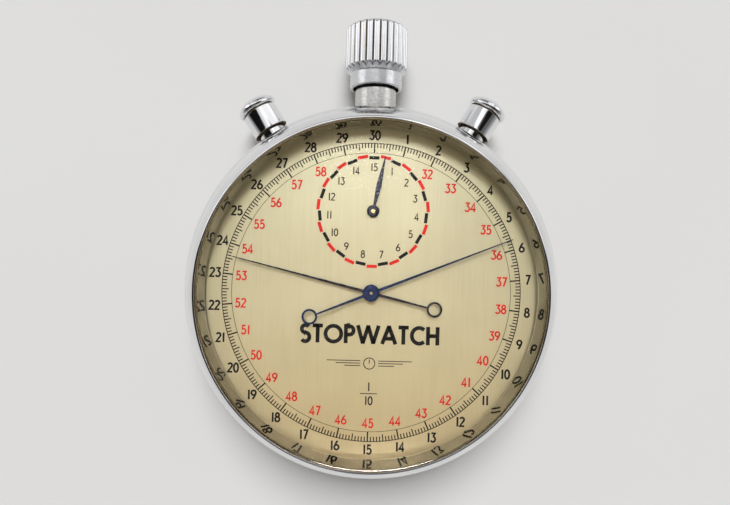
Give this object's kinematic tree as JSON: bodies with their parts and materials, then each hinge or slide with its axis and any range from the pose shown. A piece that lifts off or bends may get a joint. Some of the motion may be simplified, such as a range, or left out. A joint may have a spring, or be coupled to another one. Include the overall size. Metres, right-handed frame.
{
  "type": "mechanical stopwatch",
  "caption": "Round metal split-seconds stopwatch with a fluted crown, side pushers, domed crystal, sweep hands and a small minute hand over a wheel train.",
  "frame": {"origin": "centre of the flat outer face of the back cover", "axes": "+Z from the back out through the dial, +Y to the crown at 12 o'clock, +X to 3 o'clock"},
  "size_m": [0.065, 0.0795, 0.0206],
  "materials": {
    "chrome": "polished",
    "satin": "satin",
    "nickel": "matte gilt nickel",
    "brass": "polished",
    "steel": "polished",
    "blued": "heat blued",
    "dark": "dark oxidised",
    "dial": "silvered, fine vertical grain, printed scales",
    "ruby": "polished",
    "glass": "clear"
  },
  "bodies": {
    "case": {"case_middle": "chrome", "back_cover": "chrome", "bezel": "chrome", "crystal": "glass", "pendant_tube": "satin", "pusher_tube_left": "satin", "pusher_tube_right": "satin", "dial": "dial", "main_plate": "nickel", "barrel_bridge": "nickel", "train_bridge": "nickel", "balance_cock": "nickel", "pallet_bridge": "nickel", "chronograph_bridge": "steel", "bridge_screw_1": "blued", "bridge_screw_2": "blued", "bridge_screw_3": "blued", "bridge_screw_4": "blued", "bridge_screw_5": "blued"},
    "winding_pinion": {"winding_pinion": "steel"},
    "crown": {"crown": "chrome", "winding_stem": "steel"},
    "crown_wheel": {"crown_wheel": "steel"},
    "barrel_arbor": {"barrel_arbor": "steel", "ratchet_wheel": "steel"},
    "click": {"click": "steel"},
    "pusher_left": {"pusher_button_left": "chrome", "pusher_stem_left": "steel"},
    "pusher_right": {"pusher_button_right": "chrome", "pusher_stem_right": "steel"},
    "sweep": {"sweep_hand": "blued", "sweep_arbor": "brass", "chronograph_wheel": "brass"},
    "split": {"split_hand": "dark", "split_wheel": "brass"},
    "minute": {"minute_hand": "dark", "minute_wheel": "brass"},
    "intermediate": {"intermediate_wheel": "brass"},
    "coupling": {"coupling_wheel": "brass"},
    "fourth": {"fourth_wheel": "brass", "driving_wheel": "brass"},
    "third": {"third_wheel": "brass"},
    "second": {"second_wheel": "brass"},
    "barrel": {"barrel_drum": "brass", "barrel_lid": "brass", "mainspring": "steel"},
    "escape": {"escape_wheel": "brass"},
    "pallet": {"pallet_lever": "steel", "pallet_stone_a": "ruby", "pallet_stone_b": "ruby"},
    "balance": {"balance_wheel": "brass", "roller": "steel", "hairspring": "blued"},
    "operating_lever": {"operating_lever": "steel"},
    "column_wheel": {"column_wheel": "steel"},
    "reset_hammer": {"reset_hammer": "steel"},
    "split_lever": {"split_lever": "steel"},
    "clamp_lower": {"clamp_arm_lower": "steel"},
    "clamp_upper": {"clamp_arm_upper": "steel"}
  },
  "joints": [
    {"name": "crown_turn", "type": "hinge", "parent": "case", "child": "winding_pinion", "pos_m": [0, 0.0189, 0.008], "axis": [0, 1, 0], "continuous": true},
    {"name": "crown_press", "type": "slide", "parent": "winding_pinion", "child": "crown", "axis": [0, -1, 0], "range_m": [0, 0.0012], "stiffness_N_per_m": 900, "springref_m": -0.0008},
    {"name": "pusher_left_press", "type": "slide", "parent": "case", "child": "pusher_left", "axis": [0.5505, -0.8348, 0], "range_m": [0, 0.00075], "stiffness_N_per_m": 900, "springref_m": -0.0008},
    {"name": "pusher_right_press", "type": "slide", "parent": "case", "child": "pusher_right", "axis": [-0.521, -0.8536, 0], "range_m": [0, 0.00075], "stiffness_N_per_m": 900, "springref_m": -0.0008},
    {"name": "sweep_turn", "type": "hinge", "parent": "case", "child": "sweep", "pos_m": [0, 0, 0.008], "axis": [0, 0, -1], "continuous": true},
    {"name": "split_turn", "type": "hinge", "parent": "case", "child": "split", "pos_m": [0, 0, 0.008], "axis": [0, 0, -1], "continuous": true},
    {"name": "minute_turn", "type": "hinge", "parent": "case", "child": "minute", "pos_m": [0, 0.01374, 0.008], "axis": [0, 0, -1], "continuous": true},
    {"name": "intermediate_turn", "type": "hinge", "parent": "case", "child": "intermediate", "pos_m": [-0.00179, 0.00677, 0.008], "axis": [0, 0, -1], "continuous": true},
    {"name": "coupling_turn", "type": "hinge", "parent": "case", "child": "coupling", "pos_m": [0.00525, -0.003, 0.008], "axis": [0, 0, -1], "continuous": true},
    {"name": "fourth_turn", "type": "hinge", "parent": "case", "child": "fourth", "pos_m": [0.0105, -0.006, 0.008], "axis": [0, 0, -1], "continuous": true},
    {"name": "third_turn", "type": "hinge", "parent": "case", "child": "third", "pos_m": [0.0165, -0.0019, 0.008], "axis": [0, 0, -1], "continuous": true},
    {"name": "second_turn", "type": "hinge", "parent": "case", "child": "second", "pos_m": [0.016, 0.0054, 0.008], "axis": [0, 0, -1], "continuous": true},
    {"name": "barrel_turn", "type": "hinge", "parent": "case", "child": "barrel", "pos_m": [0.0106, 0.0132, 0.008], "axis": [0, 0, -1], "continuous": true},
    {"name": "escape_turn", "type": "hinge", "parent": "case", "child": "escape", "pos_m": [0.0039, -0.0085, 0.008], "axis": [0, 0, -1], "continuous": true},
    {"name": "pallet_rock", "type": "hinge", "parent": "case", "child": "pallet", "pos_m": [0.0006, -0.0106, 0.008], "axis": [0, 0, 1], "range_deg": [-5, 5]},
    {"name": "balance_swing", "type": "hinge", "parent": "case", "child": "balance", "pos_m": [-0.0045, -0.014, 0.008], "axis": [0, 0, 1], "range_deg": [-220, 220], "stiffness_Nm_per_rad": 0.000009},
    {"name": "crown_wheel_turn", "type": "hinge", "parent": "case", "child": "crown_wheel", "pos_m": [0, 0.0218, 0.008], "axis": [0, 0, 1], "continuous": true},
    {"name": "ratchet_turn", "type": "hinge", "parent": "case", "child": "barrel_arbor", "pos_m": [0.0106, 0.0132, 0.008], "axis": [0, 0, 1], "continuous": true},
    {"name": "click_rock", "type": "hinge", "parent": "case", "child": "click", "pos_m": [0.0126, 0.02456, 0.008], "axis": [0, 0, -1], "range_deg": [0, 6], "stiffness_Nm_per_rad": 0.0005, "springref_deg": -5.73},
    {"name": "operating_lever_rock", "type": "hinge", "parent": "case", "child": "operating_lever", "pos_m": [-0.0124, 0.0146, 0.008], "axis": [0, 0, -1], "range_deg": [0, 5.6]},
    {"name": "column_wheel_turn", "type": "hinge", "parent": "case", "child": "column_wheel", "pos_m": [-0.0192, 0.0066, 0.008], "axis": [0, 0, -1], "range_deg": [0, 30.1]},
    {"name": "reset_hammer_rock", "type": "hinge", "parent": "case", "child": "reset_hammer", "pos_m": [-0.012, -0.006, 0.008], "axis": [0, 0, -1], "range_deg": [0, 3.3]},
    {"name": "split_lever_rock", "type": "hinge", "parent": "case", "child": "split_lever", "pos_m": [0.0228, 0.0086, 0.008], "axis": [0, 0, 1], "range_deg": [0, 2.9]},
    {"name": "clamp_lower_rock", "type": "hinge", "parent": "case", "child": "clamp_lower", "pos_m": [-0.009, -0.001, 0.008], "axis": [0, 0, 1], "range_deg": [0, 2.5]},
    {"name": "clamp_upper_rock", "type": "hinge", "parent": "case", "child": "clamp_upper", "pos_m": [-0.009, 0.001, 0.008], "axis": [0, 0, -1], "range_deg": [0, 2.5]}
  ],
  "couplings": [
    {"joint": "minute_turn", "follows": "sweep_turn", "ratio": 0.033333},
    {"joint": "intermediate_turn", "follows": "sweep_turn", "ratio": -0.16667},
    {"joint": "coupling_turn", "follows": "sweep_turn", "ratio": -2},
    {"joint": "fourth_turn", "follows": "sweep_turn", "ratio": 1},
    {"joint": "third_turn", "follows": "sweep_turn", "ratio": -0.125},
    {"joint": "second_turn", "follows": "sweep_turn", "ratio": 0.016667},
    {"joint": "barrel_turn", "follows": "sweep_turn", "ratio": -0.0027778},
    {"joint": "escape_turn", "follows": "sweep_turn", "ratio": -10},
    {"joint": "crown_wheel_turn", "follows": "crown_turn", "ratio": -0.64286},
    {"joint": "ratchet_turn", "follows": "crown_turn", "ratio": 0.38571},
    {"joint": "operating_lever_rock", "follows": "crown_press", "rad_per_m": 80.6},
    {"joint": "column_wheel_turn", "follows": "crown_press", "rad_per_m": 436.33},
    {"joint": "reset_hammer_rock", "follows": "pusher_left_press", "rad_per_m": 75},
    {"joint": "split_lever_rock", "follows": "pusher_right_press", "rad_per_m": 66.8},
    {"joint": "clamp_lower_rock", "follows": "pusher_right_press", "rad_per_m": 56},
    {"joint": "clamp_upper_rock", "follows": "pusher_right_press", "rad_per_m": 56}
  ]
}
